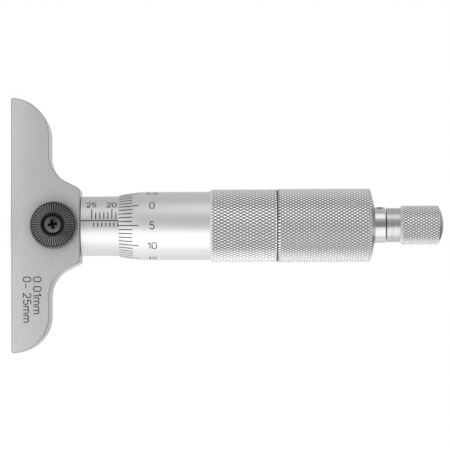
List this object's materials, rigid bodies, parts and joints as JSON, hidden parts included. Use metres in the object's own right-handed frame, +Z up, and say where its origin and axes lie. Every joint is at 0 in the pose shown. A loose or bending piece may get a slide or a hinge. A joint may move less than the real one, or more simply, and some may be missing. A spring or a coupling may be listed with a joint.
{
  "type": "depth micrometer",
  "caption": "Depth micrometer: flat bridge base with a screw-driven graduated thimble, rod, ratchet knob and serrated rod lock.",
  "frame": {"origin": "middle of the measuring face, on the rod's axis, where the gauge stands", "axes": "+Z up the spindle axis from the measuring face to the ratchet knob, X along the base, -Y the side with the lock knob"},
  "size_m": [0.0634, 0.024, 0.108],
  "materials": {
    "satin_chrome": "satin",
    "base_chrome": "satin",
    "ground_steel": "ground",
    "dark_screw": "polished",
    "brass": "satin",
    "black_plastic": "gloss",
    "spring_steel": "drawn wire"
  },
  "bodies": {
    "base": {"base": "base_chrome", "guide_bush": "brass", "inner_sleeve": "ground_steel", "adjusting_nut": "ground_steel", "graduated_sleeve": "satin_chrome"},
    "rod": {"measuring_rod": "ground_steel", "rod_adjusting_nut": "ground_steel", "rod_lock_nut": "ground_steel"},
    "thimble": {"spindle": "ground_steel", "thimble": "satin_chrome", "thimble_cap": "satin_chrome", "ratchet_body": "satin_chrome", "fixed_claw": "ground_steel", "ratchet_screw": "dark_screw"},
    "ratchet": {"ratchet_knob": "satin_chrome", "ratchet_collar": "ground_steel", "ratchet_spring": "spring_steel", "sliding_claw": "ground_steel"},
    "shoe": {"clamp_shoe": "brass"},
    "lock": {"clamp_stud": "ground_steel", "lock_knob": "black_plastic", "knob_screw": "dark_screw"}
  },
  "joints": [
    {"name": "rod_slide", "type": "slide", "parent": "base", "child": "rod", "axis": [0, 0, -1], "range_m": [-0.01854, 0.00646]},
    {"name": "thimble_turn", "type": "hinge", "parent": "rod", "child": "thimble", "pos_m": [0, 0, 0.05], "axis": [0, 0, -1], "range_deg": [-13348.64, 4655.36]},
    {"name": "ratchet_turn", "type": "hinge", "parent": "thimble", "child": "ratchet", "pos_m": [0, 0, 0.1], "axis": [0, 0, -1], "continuous": true},
    {"name": "shoe_slide", "type": "slide", "parent": "base", "child": "shoe", "axis": [0, 1, 0], "range_m": [-0.0007, 0.00009]},
    {"name": "lock_turn", "type": "hinge", "parent": "shoe", "child": "lock", "pos_m": [0, -0.01, 0.0106], "axis": [0, 1, 0], "range_deg": [-361, 47]}
  ],
  "couplings": [
    {"joint": "thimble_turn", "follows": "rod_slide", "rad_per_m": 12566},
    {"joint": "lock_turn", "follows": "shoe_slide", "rad_per_m": 8976}
  ]
}
